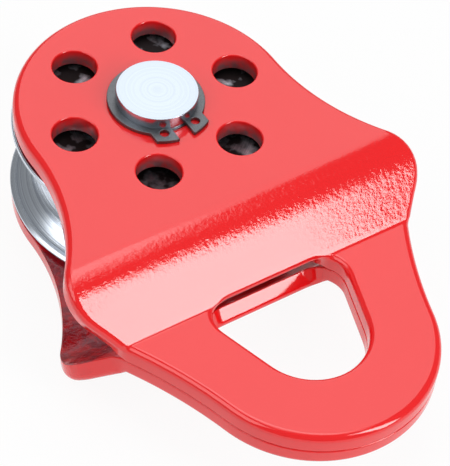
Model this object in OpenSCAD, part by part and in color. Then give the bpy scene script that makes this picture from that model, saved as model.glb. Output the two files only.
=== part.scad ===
// Snatch block: two joggled side plates that swing on one pin, with a grooved sheave between them.
// Origin: on the pin axis, in the plane halfway between the plates. +Z runs out of the front plate,
// and the closed eye points along -Y.

/* [Side plates] */
// Thickness of each plate
plate_t = 7; // [5:0.5:9]
// Radius of the round head
head_r = 51.8; // [49:0.1:54]
// Height of a head's outer face above the middle plane
head_z = 25.5; // [25:0.5:28]
// Gap between the two eyes when the block is closed
eye_gap = 0.3; // [0.2:0.1:1]
// Distance from the pin to the middle of the ears, along the plate
ear_y = 62.3; // [60:0.1:68]
// Distance from the centre line to the middle of an ear's corner
ear_x = 57.9; // [54:0.1:60]
// Corner radius of the ears
ear_r = 13.7; // [10:0.1:15]
// Radius of the hollow between head and ear
neck_r = 86; // [80:1:95]
// Radius of the hollow between ear and eye
waist_r = 85; // [80:1:95]
// Distance from the pin to the middle of the eye's round end
eye_end_y = 103; // [101:0.5:105]
// Radius of the eye's round end
eye_end_r = 45.9; // [43:0.1:47]

/* [Joggle bends] */
// Distance from the pin to where the head's flat face ends
bend_y = 51.3; // [50:0.1:53]
// Angle of the slope between head and eye
bend_angle = 45; // [40:1:50]
// Outer radius of the bend at the head
top_bend_r = 22; // [20:0.5:24]
// Radius of the crease at the eye
crease_r = 2; // [1:0.5:4]

/* [D-shaped eye] */
// Distance from the pin to the middle of the eye's round side
hole_y = 102.3; // [101:0.1:104]
// Radius of the eye's round side
hole_r = 20.8; // [19:0.2:23]
// Lean of the eye's straight sides
hole_lean = 18; // [14:1:20]
// Distance from the pin to the eye's straight edge
hole_top_y = 78.6; // [76:0.1:80]
// Corner radius of the eye
hole_corner_r = 9.3; // [7:0.1:11]

/* [Lightening holes] */
// Number of holes round the pin
light_count = 6; // [4:1:8]
// Radius of the circle that they lie on
light_circle_r = 34; // [33:0.5:35]
// Diameter of each hole
light_d = 16.4; // [14:0.2:18]

/* [Sheave] */
// Outer radius of the sheave
sheave_r = 52.2; // [50:0.1:53]
// Width of the sheave
sheave_w = 34; // [32:0.5:34]
// Radius of the rope groove's root
root_r = 39.6; // [38:0.1:41]
// Width of each rim's flat
rim_w = 1.8; // [1.6:0.2:4]
// Bevel at the rims' outer edges
rim_bevel = 0.8; // [0.4:0.2:1.2]

/* [Pin and rings] */
// Diameter of the pin
pin_d = 30; // [30:0.5:31]
// Length of the pin
pin_len = 63.6; // [62:0.2:66]
// Bevel at the pin's ends
pin_bevel = 0.8; // [0.4:0.2:1.2]
// Radius of the pin's ring grooves
ring_groove_r = 14.3; // [14:0.1:14.5]
// Thickness of the retaining rings
ring_t = 1.5; // [1:0.1:2]
// Outer radius of a ring
ring_r = 17.8; // [17:0.1:18.5]
// Radius to the outer edge of a ring's lugs
lug_r = 21.1; // [20:0.1:22]
// Diameter of a lug's hole
lug_hole_d = 3.4; // [2:0.1:3.6]
// How far the ring's outer circle is shifted away from its gap
ring_offset = 0.4; // [0:0.1:0.8]
// Width of the gap between the lugs
lug_gap = 6.2; // [5:0.2:7]
// Distance from the centre line to a lug's outer flank
lug_half = 10.9; // [10:0.1:12]
// Outer diameter of the bush
bush_d = 37; // [35:0.5:40]
// Outer radius of the thrust washers
washer_r = 24; // [22:0.5:25]

/* [Hidden] */
$fn = 96;

pin_r = pin_d / 2;
bush_r = bush_d / 2;
running_gap = 0.06;
plate_bore_gap = 0.08;
axial_gap = 0.06;
ring_gap = 0.15;
groove_play = 0.05;
press = 0.02;
lug_top = 11;
lug_hole_x = 6.5;
lug_hole_y = 15.9;
arc_step = 4;
bend_step = 5;
wide = 300;

head_inner_z = head_z - plate_t;
eye_z = eye_gap / 2 + plate_t;
drop = head_z - eye_z;

// Points of an arc about c, from angle a0 to angle a1.
function arc(c, r, a0, a1, step) =
    let (n = ceil(abs(a1 - a0) / step))
    [for (i = [0:n]) let (a = a0 + (a1 - a0) * i / n) [c[0] + r * cos(a), c[1] + r * sin(a)]];

// Point at distance ra from a and rb from b, to the left of the way from a to b.
function meet(a, ra, b, rb) =
    let (d = norm(b - a), along = (d * d + ra * ra - rb * rb) / (2 * d),
         off = sqrt(ra * ra - along * along), u = (b - a) / d)
    [a[0] + along * u[0] - off * u[1], a[1] + along * u[1] + off * u[0]];

// Angle of the direction from a to b.
function bearing(a, b) = atan2(b[1] - a[1], b[0] - a[0]);

head_c = [0, 0];
ear_c = [ear_x, -ear_y];
end_c = [0, -eye_end_y];
neck_c = meet(head_c, head_r + neck_r, ear_c, ear_r + neck_r);
waist_c = meet(ear_c, ear_r + waist_r, end_c, eye_end_r + waist_r);

// Right half of a plate's outline, from the top of the head to the tip of the eye.
right_side = concat(
    arc(head_c, head_r, 90, bearing(head_c, neck_c), arc_step),
    arc(neck_c, neck_r, bearing(neck_c, head_c), bearing(neck_c, ear_c) + 360, arc_step),
    arc(ear_c, ear_r, bearing(ear_c, neck_c), bearing(ear_c, waist_c), arc_step),
    arc(waist_c, waist_r, bearing(waist_c, ear_c), bearing(waist_c, end_c), arc_step),
    arc(end_c, eye_end_r, bearing(end_c, waist_c), -90, arc_step));

// The same points on the other side, in reverse and without the two on the centre line.
left_side = [for (i = [len(right_side) - 2:-1:1]) [-right_side[i][0], right_side[i][1]]];

// Middle of an eye's corner, a corner radius inside its leaning side and its straight edge.
corner_y = -hole_top_y - hole_corner_r;
corner_x = (hole_r - hole_corner_r + (corner_y + hole_y) * sin(hole_lean)) / cos(hole_lean);

eye_points = concat(
    arc([corner_x, corner_y], hole_corner_r, -hole_lean, 90, arc_step),
    arc([-corner_x, corner_y], hole_corner_r, 90, 180 + hole_lean, arc_step),
    arc([0, -hole_y], hole_r, 180 + hole_lean, 360 - hole_lean, arc_step));

// Length of the straight slope between the two bends, and where the crease lies.
slope = (drop - (top_bend_r + crease_r) * (1 - cos(bend_angle))) / sin(bend_angle);
crease_y = bend_y + (top_bend_r + crease_r) * sin(bend_angle) + slope * cos(bend_angle);
top_c = [-bend_y, head_z - top_bend_r];
crease_c = [-crease_y, eye_z + crease_r];

// Side view of the bent sheet, along Y and Z, longer than the plate at both ends.
sheet_points = concat(
    [[wide, head_z]],
    arc(top_c, top_bend_r, 90, 90 + bend_angle, bend_step),
    arc(crease_c, crease_r, bend_angle - 90, -90, bend_step),
    [[-wide, eye_z], [-wide, eye_z - plate_t]],
    arc(crease_c, crease_r + plate_t, -90, bend_angle - 90, bend_step),
    arc(top_c, top_bend_r - plate_t, 90 + bend_angle, 90, bend_step),
    [[wide, head_inner_z]]);

module bent_sheet() {
    rotate([90, 0, 90]) translate([0, 0, -wide]) linear_extrude(2 * wide) polygon(sheet_points);
}

module upright(points) {
    translate([0, 0, -wide]) linear_extrude(2 * wide) polygon(points);
}

module through_hole(r) {
    translate([0, 0, -wide]) cylinder(h = 2 * wide, r = r);
}

module side_plate() {
    color("crimson") difference() {
        intersection() {
            bent_sheet();
            upright(concat(right_side, left_side));
        }
        upright(eye_points);
        through_hole(pin_r + plate_bore_gap);
        for (i = [0:light_count - 1])
            rotate(i * 360 / light_count) translate([light_circle_r, 0, 0]) through_hole(light_d / 2);
    }
}

module front_side_plate() {
    side_plate();
}

module rear_side_plate() {
    mirror([0, 0, 1]) side_plate();
}

// A turned disc: flat sides, two narrow rims and one round-bottomed groove for the rope.
module sheave() {
    half = sheave_w / 2;
    mouth = half - rim_w;
    depth = sheave_r - root_r;
    groove_r = (mouth * mouth + depth * depth) / (2 * depth);
    color("silver") rotate_extrude() difference() {
        polygon([[bush_r, -half], [sheave_r - rim_bevel, -half], [sheave_r, -half + rim_bevel],
                 [sheave_r, half - rim_bevel], [sheave_r - rim_bevel, half], [bush_r, half]]);
        translate([root_r + groove_r, 0]) circle(groove_r);
    }
}

module sheave_bush() {
    color("peru") rotate_extrude()
        translate([pin_r + running_gap, -sheave_w / 2])
            square([bush_r + press - pin_r - running_gap, sheave_w]);
}

// The pin has a bevel at each end and a groove for a ring outside each plate.
module axle_pin() {
    half = pin_len / 2;
    groove_z = head_z + ring_gap - groove_play;
    groove_w = ring_t + 2 * groove_play;
    color("gainsboro") rotate_extrude() difference() {
        polygon([[0, -half], [pin_r - pin_bevel, -half], [pin_r, -half + pin_bevel],
                 [pin_r, half - pin_bevel], [pin_r - pin_bevel, half], [0, half]]);
        for (z = [groove_z, -groove_z - groove_w])
            translate([ring_groove_r, z]) square([pin_r, groove_w]);
    }
}

// An external retaining ring: thick opposite its gap, with a drilled lug each side of the gap.
module circlip() {
    color("dimgray") translate([0, 0, head_z + ring_gap]) linear_extrude(ring_t) difference() {
        union() {
            translate([0, ring_offset]) circle(ring_r);
            intersection() {
                circle(lug_r);
                translate([-lug_half, -lug_r]) square([2 * lug_half, lug_r - lug_top]);
            }
        }
        circle(ring_groove_r + groove_play);
        translate([-lug_gap / 2, -2 * lug_r]) square([lug_gap, 2 * lug_r]);
        for (x = [-lug_hole_x, lug_hole_x]) translate([x, -lug_hole_y]) circle(lug_hole_d / 2);
    }
}

module front_circlip() {
    circlip();
}

module rear_circlip() {
    mirror([0, 0, 1]) circlip();
}

module thrust_washer() {
    color("lightgray") rotate_extrude()
        translate([pin_r + running_gap, sheave_w / 2 + axial_gap])
            square([washer_r - pin_r - running_gap, head_inner_z - sheave_w / 2 - 2 * axial_gap]);
}

module front_thrust_washer() {
    thrust_washer();
}

module rear_thrust_washer() {
    mirror([0, 0, 1]) thrust_washer();
}

front_side_plate();
rear_side_plate();
sheave();
sheave_bush();
axle_pin();
front_circlip();
rear_circlip();
front_thrust_washer();
rear_thrust_washer();
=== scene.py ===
import math

import bmesh
import bpy
from mathutils import Matrix, Vector

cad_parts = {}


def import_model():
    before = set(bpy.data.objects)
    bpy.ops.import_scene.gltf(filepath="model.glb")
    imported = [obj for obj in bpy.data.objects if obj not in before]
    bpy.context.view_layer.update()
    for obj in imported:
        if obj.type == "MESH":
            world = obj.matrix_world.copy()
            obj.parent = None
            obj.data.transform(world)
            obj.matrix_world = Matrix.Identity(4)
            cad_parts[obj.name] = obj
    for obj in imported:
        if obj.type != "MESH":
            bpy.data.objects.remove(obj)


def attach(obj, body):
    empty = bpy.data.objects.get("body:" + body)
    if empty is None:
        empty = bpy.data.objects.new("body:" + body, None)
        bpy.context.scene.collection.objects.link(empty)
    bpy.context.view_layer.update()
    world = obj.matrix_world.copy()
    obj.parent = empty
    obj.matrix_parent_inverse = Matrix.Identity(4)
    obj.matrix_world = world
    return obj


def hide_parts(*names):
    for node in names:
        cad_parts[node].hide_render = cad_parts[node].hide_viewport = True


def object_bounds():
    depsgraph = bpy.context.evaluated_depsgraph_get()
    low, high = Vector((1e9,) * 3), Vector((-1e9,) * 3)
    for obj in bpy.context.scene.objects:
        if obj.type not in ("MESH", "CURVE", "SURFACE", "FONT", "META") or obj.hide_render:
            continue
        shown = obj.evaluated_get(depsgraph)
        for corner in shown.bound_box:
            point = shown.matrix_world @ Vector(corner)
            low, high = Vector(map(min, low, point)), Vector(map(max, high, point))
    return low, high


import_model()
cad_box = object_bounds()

MM = 0.001

# The image is 450 by 466 pixels. The lens spans its long side.
CAMERA_PLACE = (-300.1, -423.4, 551.1)
CAMERA_TURN = (40.939, -5.030, -32.970)
LENS = 157.5
BLOCK_MIDDLE = Vector((0.0, -50.0, 0.0))

# Side plates, in millimetres. The blank is flat, with Y measured along the sheet.
PLATE_T = 7.0
HEAD_R = 51.7
NECK_R = 83.0
EAR = (53.2, -62.2)
EAR_R = 18.3
WAIST_R = 170.1
TIP_Y = -110.54
TIP_R = 44.9
PIN_HOLE_R = 15.08
LIGHT_R = 8.2
LIGHT_CIRCLE_R = 34.0
LIGHT_COUNT = 6

# The eye in the blank
EYE_Y = -108.94
EYE_R = 20.8
EYE_LEAN = math.radians(18.0)
EYE_TOP_Y = -82.3
EYE_CORNER_R = 9.8

# Bends: the head's flat ends at BEND_Y, the slope drops at BEND_ANGLE, and the crease ends on the eye's flat.
HEAD_Z = 25.5
EYE_Z = 7.15
BEND_Y = -51.3
BEND_ANGLE = math.radians(45.0)
BEND_R = 22.0
CREASE_R = 1.7

# Edge rounding that grinding and paint leave
OUTER_EDGE_R = 2.6
INNER_EDGE_R = 0.5
EYE_EDGE_R = 2.2
HOLE_EDGE_R = 0.6

# Sheave, bush, pin and rings
SHEAVE_R = 52.2
SHEAVE_HALF = 17.0
ROOT_R = 39.6
MOUTH_HALF = 15.2
RIM_EDGE = 0.7
BUSH_R = 18.5
BUSH_BORE_R = 15.06
PIN_R = 15.0
PIN_HALF = 31.8
PIN_EDGE = 0.25
RING_GROOVE_R = 14.3
RING_GROOVE_Z = 25.6
RING_GROOVE_W = 1.6
RING_Z = 25.65
RING_T = 1.5
RING_R = 17.8
RING_SHIFT = 0.4
RING_BORE_R = 14.35
LUG_R = 21.1
LUG_HALF = 10.9
LUG_GAP_HALF = 3.1
LUG_HOLE = (6.5, -15.9)
LUG_HOLE_R = 1.7
WASHER_R = 24.0
WASHER_Z = 17.06
WASHER_T = 1.38


def linear(code):
    """An sRGB hex value as linear red, green, blue and alpha."""
    parts = [int(code[i:i + 2], 16) / 255 for i in (0, 2, 4)]
    return (*[c / 12.92 if c <= 0.04045 else ((c + 0.055) / 1.055) ** 2.4 for c in parts], 1.0)


def add(tree, kind, links=(), **settings):
    """A node with its settings, and its inputs linked or given a value."""
    node = tree.nodes.new(kind)
    for name, value in settings.items():
        setattr(node, name, value)
    for socket, source in dict(links).items():
        if isinstance(source, bpy.types.NodeSocket):
            tree.links.new(source, node.inputs[socket])
        else:
            node.inputs[socket].default_value = source
    return node


def new_material(name):
    """A material with an empty node tree, its shader, its output and object coordinates in millimetres."""
    material = bpy.data.materials.new(name)
    material.use_nodes = True
    tree = material.node_tree
    tree.nodes.clear()
    place = add(tree, "ShaderNodeTexCoord").outputs["Object"]
    scaled = add(tree, "ShaderNodeVectorMath", {0: place, 1: (1000.0, 1000.0, 1000.0)}, operation="MULTIPLY")
    shader = add(tree, "ShaderNodeBsdfPrincipled")
    output = add(tree, "ShaderNodeOutputMaterial", {"Surface": shader.outputs["BSDF"]})
    output.is_active_output = True
    return material, tree, scaled.outputs["Vector"], shader


# Glossy polyester powder coat, sprayed and baked on steel. It gives a clear, slightly wavy reflection.
def red_powder_coat():
    material, tree, mm, shader = new_material("red_powder_coat")
    cloud = add(tree, "ShaderNodeTexNoise", {"Vector": mm, "Scale": 1 / 30, "Detail": 2.0})
    ramp = add(tree, "ShaderNodeValToRGB", {"Fac": cloud.outputs["Fac"]})
    ramp.color_ramp.elements[0].color = linear("f0181c")
    ramp.color_ramp.elements[1].color = linear("f41c20")
    parts = add(tree, "ShaderNodeSeparateXYZ", {"Vector": mm})
    height = add(tree, "ShaderNodeMath", {0: parts.outputs["Z"]}, operation="ABSOLUTE")
    # Painted shade: inside the ring of holes, the coat below the outer face is darkened in blotches, down the walls
    # of the holes and on the inner side, for the shade in the holes.
    flat = add(tree, "ShaderNodeCombineXYZ", {"X": parts.outputs["X"], "Y": parts.outputs["Y"]})
    radius = add(tree, "ShaderNodeVectorMath", {0: flat.outputs["Vector"]}, operation="LENGTH")
    in_holes = add(tree, "ShaderNodeMath", {0: radius.outputs["Value"], 1: LIGHT_CIRCLE_R + LIGHT_R + 0.3},
                   operation="LESS_THAN")
    wall_top = HEAD_Z - HOLE_EDGE_R
    down_wall = add(tree, "ShaderNodeMapRange", {"Value": height.outputs["Value"], "From Min": wall_top,
                                                 "From Max": wall_top - 4.0})
    blot = add(tree, "ShaderNodeTexNoise", {"Vector": mm, "Scale": 1 / 4, "Detail": 3.0})
    hole_shade_blotches = add(tree, "ShaderNodeMapRange", {"Value": blot.outputs["Fac"], "From Min": 0.35, "From Max": 0.55,
                                             "To Min": 0.5})
    on_wall = add(tree, "ShaderNodeMath", {0: in_holes.outputs["Value"], 1: down_wall.outputs["Result"]},
                  operation="MULTIPLY")
    painted_hole_shade = add(tree, "ShaderNodeMath", {0: on_wall.outputs["Value"], 1: hole_shade_blotches.outputs["Result"]},
                operation="MULTIPLY")
    # Painted shade: the sides that face the sheave are darkened in uneven patches, for the shade between the plates
    # and the sheave.
    facing = add(tree, "ShaderNodeTexCoord").outputs["Normal"]
    rise = add(tree, "ShaderNodeSeparateXYZ", {"Vector": facing})
    outward = add(tree, "ShaderNodeMath", {0: rise.outputs["Z"], 1: parts.outputs["Z"]}, operation="MULTIPLY")
    inside = add(tree, "ShaderNodeMapRange", {"Value": outward.outputs["Value"], "From Min": -4.0, "From Max": -6.0})
    patches = add(tree, "ShaderNodeTexNoise", {"Vector": mm, "Scale": 1 / 7, "Detail": 4.0, "Roughness": 0.6,
                                               "Distortion": 0.5})
    inner_shade_patches = add(tree, "ShaderNodeMapRange", {"Value": patches.outputs["Fac"], "From Min": 0.42, "From Max": 0.56,
                                            "To Min": 0.5})
    painted_inner_shade = add(tree, "ShaderNodeMath", {0: inside.outputs["Result"], 1: inner_shade_patches.outputs["Result"]},
               operation="MULTIPLY")
    # Painted shade is mixed into the coat colour here: first on the sides that face the sheave, then in and round the
    # holes.
    inner_shaded = add(tree, "ShaderNodeMix", {"Factor": painted_inner_shade.outputs["Value"], "A": ramp.outputs["Color"],
                                          "B": linear("9c1e28")}, data_type="RGBA")
    hole_shaded = add(tree, "ShaderNodeMix", {"Factor": painted_hole_shade.outputs["Value"], "A": inner_shaded.outputs["Result"],
                                          "B": linear("865054")}, data_type="RGBA")
    tree.links.new(hole_shaded.outputs["Result"], shader.inputs["Base Color"])
    # Orange peel is about 2 mm across, with finer waves of 1 mm over it.
    peel = add(tree, "ShaderNodeTexNoise", {"Vector": mm, "Scale": 1 / 2.2, "Detail": 2.0, "Roughness": 0.55})
    waves = add(tree, "ShaderNodeBump", {"Height": peel.outputs["Fac"], "Strength": 1.0, "Distance": 0.00002})
    # The steel's skin is roughened where the press stretched it, at the bend and more towards one end of the slope.
    past_bend = add(tree, "ShaderNodeMapRange", {"Value": parts.outputs["Y"], "From Min": -53.0, "From Max": -59.0})
    above_eye = add(tree, "ShaderNodeMapRange", {"Value": height.outputs["Value"], "From Min": 7.4, "From Max": 9.0})
    on_slope = add(tree, "ShaderNodeMapRange", {"Value": parts.outputs["Y"], "From Min": -70.0, "From Max": -64.0})
    at_end = add(tree, "ShaderNodeMapRange", {"Value": parts.outputs["X"], "From Min": 5.0, "From Max": 45.0})
    reach = add(tree, "ShaderNodeMath", {0: on_slope.outputs["Result"], 1: at_end.outputs["Result"]},
                operation="MAXIMUM")
    bending = add(tree, "ShaderNodeMath", {0: past_bend.outputs["Result"], 1: above_eye.outputs["Result"]},
                  operation="MULTIPLY")
    stretched = add(tree, "ShaderNodeMath", {0: bending.outputs["Value"], 1: reach.outputs["Value"]},
                    operation="MULTIPLY")
    pressed = add(tree, "ShaderNodeMath", {0: stretched.outputs["Value"], 1: inside.outputs["Result"]},
                  operation="MAXIMUM")
    grain = add(tree, "ShaderNodeTexNoise", {"Vector": mm, "Scale": 1 / 1.9, "Detail": 3.0, "Roughness": 0.6})
    rough = add(tree, "ShaderNodeMath", {0: grain.outputs["Fac"], 1: pressed.outputs["Value"]},
                operation="MULTIPLY")
    bump = add(tree, "ShaderNodeBump", {"Height": rough.outputs["Value"], "Strength": 1.0, "Distance": 0.00016,
                                        "Normal": waves.outputs["Normal"]})
    tree.links.new(bump.outputs["Normal"], shader.inputs["Normal"])
    shader.inputs["Roughness"].default_value = 0.09
    shader.inputs["IOR"].default_value = 1.7
    return material


# Bright zinc plate over steel turned on a lathe. It gives bright metal with fine rings round the axis. On the
# sheave, the flat sides inside the rims are darkened and dulled in patches: painted shade, for the shade under the
# side plates.
def turned_zinc(name, colour, groove_colour, roughness, ring_mm, depth, painted_side_shade=False):
    material, tree, mm, shader = new_material(name)
    parts = add(tree, "ShaderNodeSeparateXYZ", {"Vector": mm})
    flat = add(tree, "ShaderNodeCombineXYZ", {"X": parts.outputs["X"], "Y": parts.outputs["Y"]})
    radius = add(tree, "ShaderNodeVectorMath", {0: flat.outputs["Vector"]}, operation="LENGTH").outputs["Value"]
    profile = add(tree, "ShaderNodeCombineXYZ", {"X": radius, "Y": parts.outputs["Z"]})
    rings = add(tree, "ShaderNodeTexNoise",
                {"Vector": profile.outputs["Vector"], "Scale": 1 / ring_mm, "Detail": 4.0, "Roughness": 0.6})
    bump = add(tree, "ShaderNodeBump", {"Height": rings.outputs["Fac"], "Strength": 1.0, "Distance": depth})
    tree.links.new(bump.outputs["Normal"], shader.inputs["Normal"])
    line = add(tree, "ShaderNodeMapRange", {"Value": rings.outputs["Fac"], "From Min": 0.38, "From Max": 0.56})
    turned = add(tree, "ShaderNodeMix", {"Factor": line.outputs["Result"], "A": linear(groove_colour),
                                         "B": linear(colour)}, data_type="RGBA").outputs["Result"]
    tree.links.new(turned, shader.inputs["Base Color"])
    shader.inputs["Metallic"].default_value = 1.0
    shader.inputs["Roughness"].default_value = roughness
    # Painted shade: the sheave's flat sides inside the rims get a dark colour in patches, standing in for the shade
    # under the side plates.
    if painted_side_shade:
        height = add(tree, "ShaderNodeMath", {0: parts.outputs["Z"]}, operation="ABSOLUTE").outputs["Value"]
        on_side = add(tree, "ShaderNodeMath", {0: height, 1: SHEAVE_HALF - 0.05}, operation="GREATER_THAN")
        in_rim = add(tree, "ShaderNodeMapRange", {"Value": radius, "From Min": 48.0, "From Max": 47.0})
        cloud = add(tree, "ShaderNodeTexNoise", {"Vector": mm, "Scale": 1 / 7, "Detail": 3.0, "Roughness": 0.5})
        side_shade_blotches = add(tree, "ShaderNodeMapRange", {"Value": cloud.outputs["Fac"], "From Min": 0.8, "From Max": 0.52})
        side = add(tree, "ShaderNodeMath", {0: on_side.outputs["Value"], 1: in_rim.outputs["Result"]},
                   operation="MULTIPLY")
        side_shade = add(tree, "ShaderNodeMath", {0: side.outputs["Value"], 1: side_shade_blotches.outputs["Result"]},
                   operation="MULTIPLY").outputs["Value"]
        side_shaded = add(tree, "ShaderNodeMix", {"Factor": side_shade, "A": turned, "B": linear("2c2829")}, data_type="RGBA")
        tree.links.new(side_shaded.outputs["Result"], shader.inputs["Base Color"])
        dull = add(tree, "ShaderNodeMapRange", {"Value": side_shade, "To Min": roughness, "To Max": 0.55})
        tree.links.new(dull.outputs["Result"], shader.inputs["Roughness"])
    return material


# Stamped spring steel with a dark phosphate finish and oil. It gives a soft dark grey sheen.
def phosphated_steel():
    material, tree, mm, shader = new_material("phosphated_spring_steel")
    grain = add(tree, "ShaderNodeTexNoise", {"Vector": mm, "Scale": 1 / 0.6, "Detail": 3.0})
    ramp = add(tree, "ShaderNodeValToRGB", {"Fac": grain.outputs["Fac"]})
    ramp.color_ramp.elements[0].color = linear("5a5c5f")
    ramp.color_ramp.elements[1].color = linear("808286")
    tree.links.new(ramp.outputs["Color"], shader.inputs["Base Color"])
    bump = add(tree, "ShaderNodeBump", {"Height": grain.outputs["Fac"], "Strength": 1.0, "Distance": 0.00002})
    tree.links.new(bump.outputs["Normal"], shader.inputs["Normal"])
    shader.inputs["Metallic"].default_value = 1.0
    shader.inputs["Roughness"].default_value = 0.42
    return material


# Turned bearing bronze, with a fine matt surface.
def bearing_bronze():
    material, tree, mm, shader = new_material("bearing_bronze")
    grain = add(tree, "ShaderNodeTexNoise", {"Vector": mm, "Scale": 1 / 0.8, "Detail": 3.0})
    ramp = add(tree, "ShaderNodeValToRGB", {"Fac": grain.outputs["Fac"]})
    ramp.color_ramp.elements[0].color = linear("a87b45")
    ramp.color_ramp.elements[1].color = linear("c2955b")
    tree.links.new(ramp.outputs["Color"], shader.inputs["Base Color"])
    shader.inputs["Metallic"].default_value = 1.0
    shader.inputs["Roughness"].default_value = 0.35
    return material


def sweep(bm, vert, centre, angle, step=2.0):
    """Carries a vertex round a centre by an angle in radians, leaving an arc, and returns the last vertex."""
    radius = (vert.co - Vector((*centre, vert.co.z))).length
    steps = max(3, round(abs(angle) * radius / step))
    made = bmesh.ops.spin(bm, geom=[vert], cent=(*centre, 0), axis=(0, 0, 1), angle=angle, steps=steps)
    return [v for v in made["geom_last"] if isinstance(v, bmesh.types.BMVert)][0]


def line_to(bm, vert, place):
    """Extrudes a straight edge from a vertex to a place, and returns the new vertex."""
    made = bmesh.ops.extrude_vert_indiv(bm, verts=[vert])["verts"][0]
    made.co = (*place, vert.co.z)
    return made


def turn(from_place, centre, to_place):
    """Signed angle at a centre from one place to another, the short way round."""
    a = math.atan2(from_place[1] - centre[1], from_place[0] - centre[0])
    b = math.atan2(to_place[1] - centre[1], to_place[0] - centre[0])
    return (b - a + math.pi) % (2 * math.pi) - math.pi


def touching(a, ra, b, rb):
    """Centre of the circle that is ra from a and rb from b, to the left of the way from a to b."""
    a, b = Vector(a), Vector(b)
    way = b - a
    along = (way.length_squared + ra * ra - rb * rb) / (2 * way.length)
    off = math.sqrt(ra * ra - along * along)
    unit = way.normalized()
    return a + along * unit + off * Vector((-unit.y, unit.x))


def mix(a, b, share):
    """The place a share of the way from a to b."""
    return Vector(a) + (Vector(b) - Vector(a)) * share


def plate_outline(bm):
    """The blank's outline: one side swept from arc to arc, then mirrored."""
    head, ear, tip = (0.0, 0.0), EAR, (0.0, TIP_Y)
    neck = touching(head, HEAD_R + NECK_R, ear, EAR_R + NECK_R)
    waist = touching(ear, EAR_R + WAIST_R, tip, TIP_R + WAIST_R)
    joins = [mix(head, neck, HEAD_R / (HEAD_R + NECK_R)), mix(ear, neck, EAR_R / (EAR_R + NECK_R)),
             mix(ear, waist, EAR_R / (EAR_R + WAIST_R)), mix(tip, waist, TIP_R / (TIP_R + WAIST_R)),
             (0.0, TIP_Y - TIP_R)]
    vert = bmesh.ops.create_vert(bm, co=(0, HEAD_R, 0))["vert"][0]
    place = (0.0, HEAD_R)
    for centre, join in zip((head, neck, ear, waist, tip), joins):
        vert = sweep(bm, vert, tuple(centre), turn(place, centre, join))
        place = tuple(join)
    bmesh.ops.mirror(bm, geom=bm.verts[:] + bm.edges[:], axis="X", merge_dist=0.001)


def plate_eye(bm):
    """The D-shaped eye: a round side, two leaning sides, two round corners and a straight edge."""
    corner_y = EYE_TOP_Y - EYE_CORNER_R
    corner_x = (EYE_R - EYE_CORNER_R + (corner_y - EYE_Y) * math.sin(EYE_LEAN)) / math.cos(EYE_LEAN)
    made = []
    for side in (1, -1):
        vert = bmesh.ops.create_vert(bm, co=(0, EYE_Y - EYE_R, 0))["vert"][0]
        before = set(bm.verts) - {vert}
        vert = sweep(bm, vert, (0, EYE_Y), side * (math.pi / 2 - EYE_LEAN))
        out = (side * math.cos(EYE_LEAN), -math.sin(EYE_LEAN))
        vert = line_to(bm, vert, (side * corner_x + EYE_CORNER_R * out[0], corner_y + EYE_CORNER_R * out[1]))
        vert = sweep(bm, vert, (side * corner_x, corner_y), side * (math.pi / 2 + EYE_LEAN), 1.0)
        line_to(bm, vert, (0, EYE_TOP_Y))
        made += [v for v in bm.verts if v not in before]
    bmesh.ops.remove_doubles(bm, verts=made, dist=0.001)


def circle(bm, x, y, radius, segments):
    """A ring of edges about a place."""
    bmesh.ops.create_circle(bm, cap_ends=False, radius=radius, segments=segments,
                            matrix=Matrix.Translation((x, y, 0)))


def fill_and_thicken(bm, low, high):
    """Fills the loops, with the inner ones as holes, and extrudes the face from one height to the other."""
    bmesh.ops.translate(bm, verts=bm.verts, vec=(0, 0, low))
    bmesh.ops.triangle_fill(bm, use_beauty=True, use_dissolve=False, edges=bm.edges[:])
    bmesh.ops.dissolve_limit(bm, angle_limit=0.01, verts=[], edges=[e for e in bm.edges if len(e.link_faces) == 2])
    made = bmesh.ops.extrude_face_region(bm, geom=bm.faces[:])["geom"]
    bmesh.ops.translate(bm, verts=[v for v in made if isinstance(v, bmesh.types.BMVert)], vec=(0, 0, high - low))
    bmesh.ops.recalc_face_normals(bm, faces=bm.faces)


def rim(bm, z, test):
    """The sharp edges at a height that pass a test on their middle."""
    found = []
    for edge in bm.edges:
        middle = (edge.verts[0].co + edge.verts[1].co) / 2
        if len(edge.link_faces) == 2 and all(abs(v.co.z - z) < 1e-4 for v in edge.verts):
            if edge.calc_face_angle() > 1.2 and test(middle):
                found.append(edge)
    return found


def round_edges(bm, edges, radius, segments):
    bmesh.ops.bevel(bm, geom=edges, offset=radius, offset_type="OFFSET", segments=segments, profile=0.5,
                    affect="EDGES", material=-1, clamp_overlap=False)


def in_eye(place):
    return abs(place.x) < 29 and EYE_Y - EYE_R - 1 < place.y < EYE_TOP_Y + 1


def in_hole(place):
    return Vector((place.x, place.y)).length < LIGHT_CIRCLE_R + LIGHT_R + 1


def on_outline(place):
    return not in_eye(place) and not in_hole(place)


def bent(place):
    """Where a point of the flat blank lies once the sheet is bent."""
    x, run, height = place
    mid_r = BEND_R - PLATE_T / 2
    crease_mid_r = CREASE_R + PLATE_T / 2
    drop = HEAD_Z - EYE_Z
    sine, cosine = math.sin(BEND_ANGLE), math.cos(BEND_ANGLE)
    slope = (drop - (BEND_R + CREASE_R) * (1 - cosine)) / sine
    crease_y = BEND_Y - (BEND_R + CREASE_R) * sine - slope * cosine
    top_z = HEAD_Z - BEND_R
    low_z = EYE_Z + CREASE_R
    past = BEND_Y - run
    bend_run = mid_r * BEND_ANGLE
    crease_run = crease_mid_r * BEND_ANGLE
    if past <= 0:
        return x, run, top_z + mid_r + height
    if past <= bend_run:
        angle = past / mid_r
        return x, BEND_Y - (mid_r + height) * math.sin(angle), top_z + (mid_r + height) * math.cos(angle)
    past -= bend_run
    if past <= slope:
        return (x, BEND_Y - (mid_r + height) * sine - past * cosine,
                top_z + (mid_r + height) * cosine - past * sine)
    past -= slope
    if past <= crease_run:
        angle = BEND_ANGLE - past / crease_mid_r
        return (x, crease_y + (crease_mid_r - height) * math.sin(angle),
                low_z - (crease_mid_r - height) * math.cos(angle))
    return x, crease_y - (past - crease_run), low_z - crease_mid_r + height


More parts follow.
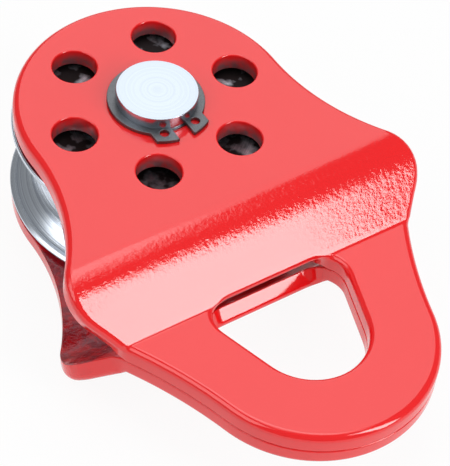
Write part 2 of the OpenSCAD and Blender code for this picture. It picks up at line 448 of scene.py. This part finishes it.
def bend_lines():
    """Places along the blank at which the sheet has to be able to bend."""
    bend_run = (BEND_R - PLATE_T / 2) * BEND_ANGLE
    crease_run = (CREASE_R + PLATE_T / 2) * BEND_ANGLE
    slope = (HEAD_Z - EYE_Z - (BEND_R + CREASE_R) * (1 - math.cos(BEND_ANGLE))) / math.sin(BEND_ANGLE)
    bend_steps, slope_steps, crease_steps = 12, 4, 8
    start = BEND_Y
    for length, steps in ((bend_run, bend_steps), (slope, slope_steps), (crease_run, crease_steps)):
        for i in range(steps):
            yield start - length * i / steps
        start -= length
    yield start


def side_plate(name, side):
    """A plate cut flat with all its holes, its edges rounded, then bent. side is 1 in front and -1 at the rear."""
    bm = bmesh.new()
    plate_outline(bm)
    plate_eye(bm)
    circle(bm, 0, 0, PIN_HOLE_R, 64)
    for i in range(LIGHT_COUNT):
        angle = 2 * math.pi * i / LIGHT_COUNT
        circle(bm, LIGHT_CIRCLE_R * math.cos(angle), LIGHT_CIRCLE_R * math.sin(angle), LIGHT_R, 48)
    half = PLATE_T / 2
    fill_and_thicken(bm, -half, half)
    for z, outline_r in ((half, OUTER_EDGE_R), (-half, INNER_EDGE_R)):
        round_edges(bm, rim(bm, z, on_outline), outline_r, 5)
        round_edges(bm, rim(bm, z, in_hole), HOLE_EDGE_R, 3)
    round_edges(bm, rim(bm, half, in_eye), EYE_EDGE_R, 5)
    round_edges(bm, rim(bm, -half, in_eye), INNER_EDGE_R, 3)
    for y in bend_lines():
        bmesh.ops.bisect_plane(bm, geom=bm.verts[:] + bm.edges[:] + bm.faces[:], dist=1e-5,
                               plane_co=(0, y, 0), plane_no=(0, 1, 0))
    for vert in bm.verts:
        vert.co = bent(vert.co)
    bmesh.ops.scale(bm, vec=(1, 1, side), verts=bm.verts)
    return finish_piece(bm, name)


def finish_piece(bm, name):
    """Scales a mesh from millimetres, merges doubles, turns its faces outwards and makes it a smooth object."""
    bmesh.ops.scale(bm, vec=(MM, MM, MM), verts=bm.verts)
    bmesh.ops.remove_doubles(bm, verts=bm.verts, dist=1e-7)
    bmesh.ops.recalc_face_normals(bm, faces=bm.faces)
    mesh = bpy.data.meshes.new(name)
    bm.to_mesh(mesh)
    bm.free()
    mesh.polygons.foreach_set("use_smooth", [True] * len(mesh.polygons))
    piece = bpy.data.objects.new(name, mesh)
    bpy.context.scene.collection.objects.link(piece)
    normals = piece.modifiers.new("even_normals", "WEIGHTED_NORMAL")
    normals.weight = 100
    return piece


def lathe(name, corners, segments=160, closed=True):
    """Turns a section of radius and height corners into a ring."""
    bm = bmesh.new()
    verts = [bmesh.ops.create_vert(bm, co=(radius, 0, z))["vert"][0] for radius, z in corners]
    pairs = list(zip(verts, verts[1:] + verts[:1])) if closed else list(zip(verts, verts[1:]))
    for a, b in pairs:
        bm.edges.new((a, b))
    bmesh.ops.spin(bm, geom=bm.verts[:] + bm.edges[:], cent=(0, 0, 0), axis=(0, 0, 1), angle=2 * math.pi,
                   steps=segments, use_merge=True)
    bmesh.ops.remove_doubles(bm, verts=bm.verts, dist=1e-4)
    return finish_piece(bm, name)


def groove_corners():
    """The groove's section: points on the arc from one side of its mouth to the other."""
    depth = SHEAVE_R - ROOT_R
    groove_r = (MOUTH_HALF ** 2 + depth ** 2) / (2 * depth)
    centre = ROOT_R + groove_r
    reach = math.asin(MOUTH_HALF / groove_r)
    steps = 24
    for i in range(steps + 1):
        angle = reach * (1 - 2 * i / steps)
        yield centre - groove_r * math.cos(angle), groove_r * math.sin(angle)


def sheave_piece():
    corners = [(BUSH_R, SHEAVE_HALF), (SHEAVE_R - RIM_EDGE, SHEAVE_HALF), (SHEAVE_R, SHEAVE_HALF - RIM_EDGE)]
    corners += list(groove_corners())
    corners += [(SHEAVE_R, RIM_EDGE - SHEAVE_HALF), (SHEAVE_R - RIM_EDGE, -SHEAVE_HALF), (BUSH_R, -SHEAVE_HALF)]
    return lathe("turned_sheave", corners)


def bush_piece():
    edge = 0.4
    corners = [(BUSH_BORE_R + edge, SHEAVE_HALF), (BUSH_R, SHEAVE_HALF), (BUSH_R, -SHEAVE_HALF),
               (BUSH_BORE_R + edge, -SHEAVE_HALF), (BUSH_BORE_R, edge - SHEAVE_HALF),
               (BUSH_BORE_R, SHEAVE_HALF - edge)]
    return lathe("turned_bush", corners)


def pin_piece():
    low, high = RING_GROOVE_Z, RING_GROOVE_Z + RING_GROOVE_W
    upper = [(PIN_R, low), (RING_GROOVE_R, low), (RING_GROOVE_R, high), (PIN_R, high),
             (PIN_R, PIN_HALF - PIN_EDGE), (PIN_R - PIN_EDGE, PIN_HALF), (0.0, PIN_HALF)]
    corners = [(r, -z) for r, z in reversed(upper)] + upper
    return lathe("turned_pin", corners, closed=False)


def washer_piece(name, side):
    edge = 0.25
    low, high = WASHER_Z, WASHER_Z + WASHER_T
    corners = [(BUSH_BORE_R, low), (WASHER_R - edge, low), (WASHER_R, low + edge), (WASHER_R, high - edge),
               (WASHER_R - edge, high), (BUSH_BORE_R, high)]
    return lathe(name, [(r, side * z) for r, z in corners])


def circlip_piece(name, side):
    """A retaining ring: its outline is swept from arc to arc on one side of the gap and mirrored."""
    bm = bmesh.new()
    gap_bottom = -math.sqrt(LUG_R ** 2 - LUG_GAP_HALF ** 2)
    gap_top = -math.sqrt(RING_BORE_R ** 2 - LUG_GAP_HALF ** 2)
    flank_bottom = -math.sqrt(LUG_R ** 2 - LUG_HALF ** 2)
    flank_top = RING_SHIFT - math.sqrt(RING_R ** 2 - LUG_HALF ** 2)
    start = bmesh.ops.create_vert(bm, co=(0, RING_BORE_R, 0))["vert"][0]
    vert = sweep(bm, start, (0, 0), turn((0, RING_BORE_R), (0, 0), (LUG_GAP_HALF, gap_top)), 1.0)
    vert = line_to(bm, vert, (LUG_GAP_HALF, gap_bottom))
    vert = sweep(bm, vert, (0, 0), turn((LUG_GAP_HALF, gap_bottom), (0, 0), (LUG_HALF, flank_bottom)), 1.0)
    vert = line_to(bm, vert, (LUG_HALF, flank_top))
    sweep(bm, vert, (0, RING_SHIFT), turn((LUG_HALF, flank_top), (0, RING_SHIFT), (0, RING_SHIFT + RING_R)), 1.0)
    bmesh.ops.mirror(bm, geom=bm.verts[:] + bm.edges[:], axis="X", merge_dist=0.001)
    for x in (-LUG_HOLE[0], LUG_HOLE[0]):
        circle(bm, x, LUG_HOLE[1], LUG_HOLE_R, 24)
    fill_and_thicken(bm, RING_Z, RING_Z + RING_T)
    for z in (RING_Z, RING_Z + RING_T):
        round_edges(bm, rim(bm, z, lambda place: True), 0.2, 2)
    bmesh.ops.scale(bm, vec=(1, 1, side), verts=bm.verts)
    return finish_piece(bm, name)


def place_piece(piece, material, body, slot, *nodes):
    piece.data.materials.append(material)
    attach(piece, body)
    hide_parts(*nodes)


def camera():
    data = bpy.data.cameras.new("camera")
    data.lens = LENS
    data.sensor_width = 36.0
    data.sensor_fit = "AUTO"
    data.clip_start = 0.01
    seen = bpy.data.objects.new("camera", data)
    seen.location = Vector(CAMERA_PLACE) * MM
    seen.rotation_euler = [math.radians(a) for a in CAMERA_TURN]
    bpy.context.scene.collection.objects.link(seen)
    bpy.context.scene.camera = seen


def floor():
    """A wide pale floor at the object's lowest point."""
    bm = bmesh.new()
    bmesh.ops.create_grid(bm, x_segments=1, y_segments=1, size=4.0)
    bmesh.ops.translate(bm, verts=bm.verts, vec=(0, 0, cad_box[0][2]))
    mesh = bpy.data.meshes.new("floor")
    bm.to_mesh(mesh)
    bm.free()
    ground = bpy.data.objects.new("floor", mesh)
    bpy.context.scene.collection.objects.link(ground)
    material = bpy.data.materials.new("pale_floor")
    material.use_nodes = True
    tree = material.node_tree
    tree.nodes.clear()
    ray = add(tree, "ShaderNodeLightPath")
    matt = add(tree, "ShaderNodeBsdfDiffuse", {"Color": linear("f4f4f4")})
    glow = add(tree, "ShaderNodeEmission", {"Color": (1.0, 1.0, 1.0, 1.0), "Strength": 1.0})
    seen = add(tree, "ShaderNodeMath", {0: ray.outputs["Is Camera Ray"], 1: ray.outputs["Is Glossy Ray"]},
               operation="MAXIMUM")
    share = add(tree, "ShaderNodeMath", {0: seen.outputs["Value"], 1: 0.93}, operation="MULTIPLY")
    mixed = add(tree, "ShaderNodeMixShader", {"Fac": share.outputs["Value"], 1: matt.outputs["BSDF"],
                                              2: glow.outputs["Emission"]})
    add(tree, "ShaderNodeOutputMaterial", {"Surface": mixed.outputs["Shader"]})
    mesh.materials.append(material)


def softbox(name, towards, inward, distance, size, brightness, fade):
    """A lamp in a direction from the block that shows as that bright, where 1 is white.

    One of its edges fades in over a share of its width. inward points from that edge across the lamp.
    """
    data = bpy.data.lights.new(name, "AREA")
    data.shape = "RECTANGLE"
    data.size, data.size_y = size
    data.energy = brightness * math.pi * size[0] * size[1]
    data.use_nodes = True
    tree = data.node_tree
    tree.nodes.clear()
    place = add(tree, "ShaderNodeNewGeometry").outputs["Parametric"]
    parts = add(tree, "ShaderNodeSeparateXYZ", {"Vector": place})
    ramp = add(tree, "ShaderNodeMapRange", {"Value": parts.outputs["X"], "From Max": fade},
               interpolation_type="SMOOTHSTEP")
    glow = add(tree, "ShaderNodeEmission", {"Strength": ramp.outputs["Result"]})
    add(tree, "ShaderNodeOutputLight", {"Surface": glow.outputs["Emission"]})
    lamp = bpy.data.objects.new(name, data)
    back = Vector(towards).normalized()
    up = back.cross(Vector(inward)).normalized()
    turned = Matrix((up.cross(back), up, back)).transposed().to_4x4()
    lamp.matrix_world = Matrix.Translation(BLOCK_MIDDLE * MM + back * distance) @ turned
    bpy.context.scene.collection.objects.link(lamp)


def world():
    made = bpy.data.worlds.new("studio")
    bpy.context.scene.world = made
    made.use_nodes = True
    tree = made.node_tree
    tree.nodes.clear()
    ray = add(tree, "ShaderNodeLightPath")
    strength = add(tree, "ShaderNodeMapRange", {"Value": ray.outputs["Is Camera Ray"], "To Min": 0.25, "To Max": 1.0})
    sky = add(tree, "ShaderNodeBackground", {"Color": (1, 1, 1, 1), "Strength": strength.outputs["Result"]})
    add(tree, "ShaderNodeOutputWorld", {"Surface": sky.outputs["Background"]})


camera()
world()
floor()
softbox("back_softbox", (0.357, 0.570, 0.741), (-0.673, 0.720, 0.173), 2.0, (1.25, 2.4), 1.3, 0.12)
softbox("overhead_softbox", (0.11, 0.15, 0.98), (-0.915, 0.081, 0.394), 1.5, (0.94, 0.75), 1.25, 0.1)
softbox("front_softbox", (0.360, -0.730, 0.581), (-0.825, -0.565, 0.0), 1.5, (0.43, 1.27), 7.6, 0.16)
softbox("left_softbox", (-0.72, 0.16, 0.67), (0.0, -1.0, 0.0), 1.5, (1.5, 1.1), 1.8, 0.3)

coat = red_powder_coat()
# The sheave's material carries painted shade on its flat sides.
sheave_zinc = turned_zinc("bright_zinc_sheave", "eaf2fc", "c2ccdb", 0.2, 0.5, 0.00006, painted_side_shade=True)
pin_zinc = turned_zinc("bright_zinc_pin", "c6d0db", "c0cad6", 0.25, 0.9, 0.00002)
spring_steel = phosphated_steel()
bronze = bearing_bronze()

place_piece(side_plate("front_plate_bent", 1), coat, "front_plate", "red_powder_coat", "front_side_plate")
place_piece(side_plate("rear_plate_bent", -1), coat, "rear_plate", "red_powder_coat", "rear_side_plate")
place_piece(sheave_piece(), sheave_zinc, "rope_sheave", "zinc_plated_sheave", "sheave")
place_piece(bush_piece(), bronze, "rope_sheave", "bronze_bush", "sheave_bush")
place_piece(pin_piece(), pin_zinc, "axle", "zinc_plated_pin", "axle_pin")
place_piece(circlip_piece("front_ring", 1), spring_steel, "axle", "phosphated_spring_steel", "front_circlip")
place_piece(circlip_piece("rear_ring", -1), spring_steel, "axle", "phosphated_spring_steel", "rear_circlip")
place_piece(washer_piece("front_washer", 1), pin_zinc, "axle", "zinc_plated_washer", "front_thrust_washer")
place_piece(washer_piece("rear_washer", -1), pin_zinc, "axle", "zinc_plated_washer", "rear_thrust_washer")

bpy.context.scene.view_settings.view_transform = "Standard"
